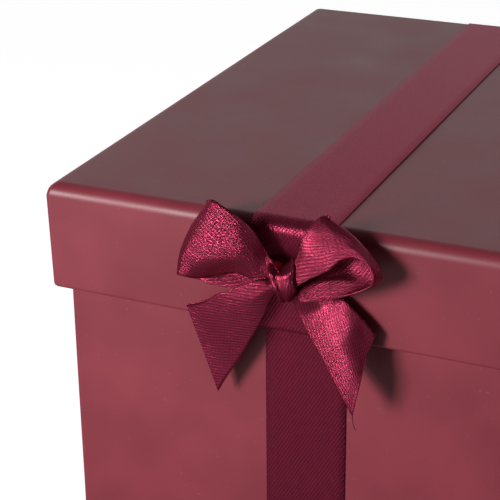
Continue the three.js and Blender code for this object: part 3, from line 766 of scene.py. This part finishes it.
# The knot's band: guides round it for its left edge, left crown, crease, right crown and right edge
KNOT = (
    [
        (-1, -2.7, -1.5), (-1.2, -0.8, -4), (-0.9, 2.3, -0.9), (-2.1, 2, 0.8), (-2.6, 1.6, 2.3),
        (-2.8, 0.7, 3.1), (-2.8, -1.1, 3.1), (-2, -2.6, 1.5), (-1, -2.7, -1.5),
    ],
    [
        (-0.6, -2.8, -1.6), (-0.5, -0.4, -4), (-0.3, 3, -0.7), (-1.2, 2.8, 1), (-1.8, 2.4, 2.3),
        (-1.9, 0.9, 2.9), (-2, -1.1, 2.8), (-1.2, -2.7, 1.4), (-0.6, -2.8, -1.6),
    ],
    [
        (0, -2.8, -1.6), (0, -0.5, -3.7), (0.2, 2.5, -0.9), (-0.4, 2.3, 0.8), (-0.8, 1.8, 1.9),
        (-1, 0.4, 2.1), (-1.1, -1.2, 2.2), (-0.6, -2.8, 1.2), (0, -2.8, -1.6),
    ],
    [
        (0.5, -2.8, -1.5), (0.6, -0.4, -3.7), (1.4, 3, -0.4), (1.1, 2.9, 1.4), (1, 2.5, 2.5), (0.6, 1, 2.8),
        (-0.2, -1, 2.8), (0.2, -2.8, 1.5), (0.5, -2.8, -1.5),
    ],
    [
        (1, -2.7, -1.3), (1.1, -0.8, -3.2), (2.6, 2.3, 0), (2.4, 2, 1.9), (2.3, 1.6, 3.5), (1.8, 0.8, 4.2),
        (0.9, -1, 4), (1, -2.7, 2), (1, -2.7, -1.3),
    ],
)

# A thread that has come loose from the right tail's cut end
THREAD = (
    (14.9, 1.2, -10.7), (14.2, 1.3, -14.6), (13.4, 1.1, -18.2), (12.7, 0.9, -21.3), (12.5, 0.6, -23.6),
    (12.9, 0.4, -25.2), (13.1, 0.4, -25.4),
)


def guided_rows(guides, samples, spans, centre):
    """Rows of points over the surface that the guide lines span."""
    along = np.array([ribbon_curve(guide, samples) for guide in guides]) * MM
    rows = np.array([ribbon_curve(along[:, k], spans) for k in range(samples)])
    return rows * (1, -1, 1) + np.array(centre)


def tucked(rows, width, gap, columns=8):
    """Rows with the width that they lack turned back behind them, as the ribbon gathers to its knot."""
    steps = np.linalg.norm(np.diff(rows, axis=1), axis=2)
    wide = steps.sum(axis=1)
    least, opening = 0.02 * MM, 0.6 * MM
    turned = np.clip(width - wide, least, 0.8 * wide)
    hidden = np.cross(np.gradient(rows, axis=0), np.gradient(rows, axis=1))
    hidden /= np.maximum(np.linalg.norm(hidden, axis=2, keepdims=True), 1e-12)
    hidden *= np.where(hidden[:, :, 1:2] < 0, -1, 1)
    behind = rows + hidden * (gap * np.minimum(turned / opening, 1))[:, None, None]
    back = np.zeros((len(rows), columns, 3))
    for k, row in enumerate(behind):
        reach = np.concatenate([[0], np.cumsum(steps[k, ::-1])])
        at = np.linspace(0, turned[k], columns)
        back[k] = np.stack([np.interp(at, reach, row[::-1, axis]) for axis in range(3)], axis=-1)
    return np.concatenate([rows, back], axis=1)


def folded_in_three(rows, centre, gap):
    """Each row with its two outer thirds folded back behind it, the second one under the first."""
    middle = np.array((centre.x, centre.y, centre.z))
    inward = middle - rows
    inward[:, :, 0] = 0
    inward /= np.maximum(np.linalg.norm(inward, axis=2, keepdims=True), 1e-9)
    left = rows[:, 1:] + inward[:, 1:] * gap
    right = rows[:, :-1] + inward[:, :-1] * 2 * gap
    return np.concatenate([left[:, ::-1], rows, right[:, ::-1]], axis=1)


def thread_mesh(points, centre, radius):
    """A loose thread through the points, with a little ball of fluff at its end."""
    path = ribbon_curve(points, 40) * (1, -1, 1) * MM + np.array(centre)
    bpy.ops.object.select_all(action="DESELECT")
    curve = bpy.data.curves.new("thread", "CURVE")
    curve.dimensions = "3D"
    curve.bevel_depth = radius
    curve.bevel_resolution = 2
    spline = curve.splines.new("POLY")
    spline.points.add(len(path) - 1)
    for index, (point, place) in enumerate(zip(spline.points, path)):
        point.co = (*place, 1)
        point.radius = 2.4 if index >= len(path) - 3 else 1
    obj = bpy.data.objects.new("loose_thread", curve)
    bpy.context.collection.objects.link(obj)
    only(obj)
    bpy.ops.object.convert(target="MESH")
    return bpy.context.object


class GIFTBOX_OT_bow(bpy.types.Operator):
    """Tie the bow"""

    bl_idname = "giftbox.bow"
    bl_label = "Bow"

    def execute(self, context):
        ribbon = context.scene.gift_ribbon
        look = bpy.data.materials.get("satin_weave") or material("satin_weave", satin)
        centre = Vector((KNOT_RIGHT, LID_LOW.y - KNOT_OUT, LID_HIGH.z - KNOT_DROP))
        # Each strip's guides, hand, rows and flat length, and the share of that rectangle its end leaves
        strips = (
            ("loop_left", LEFT_LOOP, 1, 760, 42 * MM, 1),
            ("loop_right", RIGHT_LOOP, -1, 800, 35 * MM, 1),
            ("tail_left", LEFT_TAIL, 1, 400, 25 * MM, 0.81),
            ("tail_right", RIGHT_TAIL, -1, 400, 24 * MM, 0.78),
        )
        for name, guides, hand, samples, length, share in strips:
            rows = tucked(guided_rows(guides, samples, OPEN_COLUMNS, centre), ribbon.width, FOLD_GAP)
            strip = strip_mesh("satin_" + name, rows, ribbon, ribbon.thickness, hand, OPEN_COLUMNS)
            if name == "tail_right":
                thread = thread_mesh(THREAD, centre, THREAD_RADIUS)
                only(strip)
                thread.select_set(True)
                bpy.ops.object.join()
            dress(strip, look, "satin_ribbon", "lid", "bow_" + name)
        rows = folded_in_three(guided_rows(KNOT, KNOT_ROWS, KNOT_COLUMNS, centre), centre, FOLD_GAP)
        knot = strip_mesh("satin_knot", rows, ribbon, ribbon.thickness, 1)
        dress(knot, look, "satin_ribbon", "lid", "bow_knot")
        return {"FINISHED"}


class GIFTBOX_OT_studio(bpy.types.Operator):
    """Set the floor, the light and the camera"""

    bl_idname = "giftbox.studio"
    bl_label = "Studio"

    def execute(self, context):
        studio = context.scene.gift_studio
        scene = context.scene
        scene.view_settings.view_transform = "Standard"
        leave_edit()
        bpy.ops.object.select_all(action="DESELECT")
        bpy.ops.mesh.primitive_plane_add(size=30, location=(0, 0, 0))
        floor = bpy.context.object
        floor.name = "studio_floor"
        floor.data.materials.append(material("studio_floor", floor_white))
        world = bpy.data.worlds.new("studio_world")
        scene.world = world
        world_light(Finish(world))
        aim = Vector((0, LID_LOW.y, (LID_LOW.z + LID_HIGH.z) / 2))
        turn, rise = studio.key_turn, studio.key_rise
        way = Vector((-math.sin(turn) * math.cos(rise), -math.cos(turn) * math.cos(rise), math.sin(rise)))
        bpy.ops.object.light_add(type="AREA", location=aim + way * studio.key_distance)
        key = bpy.context.object
        key.name = "key_softbox"
        key.rotation_euler = way.to_track_quat("Z", "Y").to_euler()
        key.data.shape = "SQUARE"
        key.data.size = studio.key_size
        key.data.energy = studio.key_power
        bpy.ops.object.camera_add()
        camera = bpy.context.object
        camera.name = "photo_camera"
        yaw, pitch, roll = -studio.yaw, studio.pitch, -studio.roll
        ahead = Vector((math.sin(yaw) * math.cos(pitch), math.cos(yaw) * math.cos(pitch), -math.sin(pitch)))
        right = Vector((math.cos(yaw), -math.sin(yaw), 0))
        up = right.cross(ahead)
        rolled_right = math.cos(roll) * right + math.sin(roll) * up
        rolled_up = math.cos(roll) * up - math.sin(roll) * right
        turn = Matrix((rolled_right, rolled_up, -ahead)).transposed()
        place = Vector((0, LID_LOW.y, LID_HIGH.z))
        place += Vector((studio.camera_right, -studio.camera_ahead, studio.camera_above))
        camera.matrix_world = Matrix.Translation(place) @ turn.to_4x4()
        camera.data.sensor_width = 36
        camera.data.lens = studio.lens
        camera.data.clip_start = 10 * MM
        scene.camera = camera
        return {"FINISHED"}


def seen_rays(finish):
    """1 for rays that show the background: from the camera or through glass, and faint in gloss."""
    in_gloss = 0.1
    camera = finish.node("ShaderNodeLightPath", {}, output="Is Camera Ray")
    through = finish.node("ShaderNodeLightPath", {}, output="Is Transmission Ray")
    glossy = finish.node("ShaderNodeLightPath", {}, output="Is Glossy Ray")
    return camera.math("MAXIMUM", camera.math("MAXIMUM", camera, through), glossy * in_gloss)


def floor_white(finish):
    """A matt floor that glows white for the rays that show the background."""
    matt = finish.node("ShaderNodeBsdfDiffuse", {}, Color=(0.3, 0.3, 0.3, 1))
    glow = finish.node("ShaderNodeEmission", {}, Color=(1, 1, 1, 1), Strength=seen_rays(finish) * 0.92)
    finish.surface(finish.node("ShaderNodeAddShader", {}, matt, glow))


def world_light(finish):
    """White for the rays that show it. For the rest it's a pale wall behind the box and a faint fill."""
    wall_strength, fill = 0.66, 0.035
    camera = finish.node("ShaderNodeLightPath", {}, output="Is Camera Ray")
    through = finish.node("ShaderNodeLightPath", {}, output="Is Transmission Ray")
    way = finish.node("ShaderNodeTexCoord", {}, output="Generated")
    rise = finish.node("ShaderNodeSeparateXYZ", {}, way, output="Z")
    behind = finish.node("ShaderNodeSeparateXYZ", {}, way, output="Y")
    smooth = {"interpolation_type": "SMOOTHSTEP"}
    wall = finish.node("ShaderNodeMapRange", smooth, rise, 0.45, 0.85, wall_strength, 0)
    back = finish.node("ShaderNodeMapRange", smooth, behind, -0.2, 0.35, 0, 1)
    shown = camera.math("MAXIMUM", camera, through)
    strength = shown + (1 - shown) * (back * wall + fill)
    light = finish.node("ShaderNodeBackground", {}, Color=(1, 1, 1, 1), Strength=strength)
    finish.node("ShaderNodeOutputWorld", {}, Surface=light)


class GIFTBOX_PT_panel(bpy.types.Panel):
    """Lists the box's pieces and settings"""

    bl_idname = "GIFTBOX_PT_panel"
    bl_label = "Gift Box"
    bl_space_type = "VIEW_3D"
    bl_region_type = "UI"
    bl_category = "Gift Box"

    def draw(self, context):
        for piece in OPERATORS:
            self.layout.operator(piece.bl_idname)
        for group in (context.scene.gift_paper, context.scene.gift_ribbon, context.scene.gift_studio):
            box = self.layout.box()
            for name in group.__annotations__:
                box.prop(group, name)


OPERATORS = (GIFTBOX_OT_wraps, GIFTBOX_OT_inner, GIFTBOX_OT_bands, GIFTBOX_OT_bow, GIFTBOX_OT_studio)
GROUPS = {"gift_paper": GiftPaper, "gift_ribbon": GiftRibbon, "gift_studio": GiftStudio}
CLASSES = (*GROUPS.values(), *OPERATORS, GIFTBOX_PT_panel)


def register():
    for made in CLASSES:
        bpy.utils.register_class(made)
    for name, group in GROUPS.items():
        setattr(bpy.types.Scene, name, PointerProperty(type=group))


def unregister():
    for name in GROUPS:
        delattr(bpy.types.Scene, name)
    for made in reversed(CLASSES):
        bpy.utils.unregister_class(made)


def main():
    """Registers the add-on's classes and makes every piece."""
    register()
    bpy.ops.giftbox.wraps()
    bpy.ops.giftbox.inner()
    bpy.ops.giftbox.bands()
    bpy.ops.giftbox.bow()
    bpy.ops.giftbox.studio()


if __name__ == "__main__":
    main()
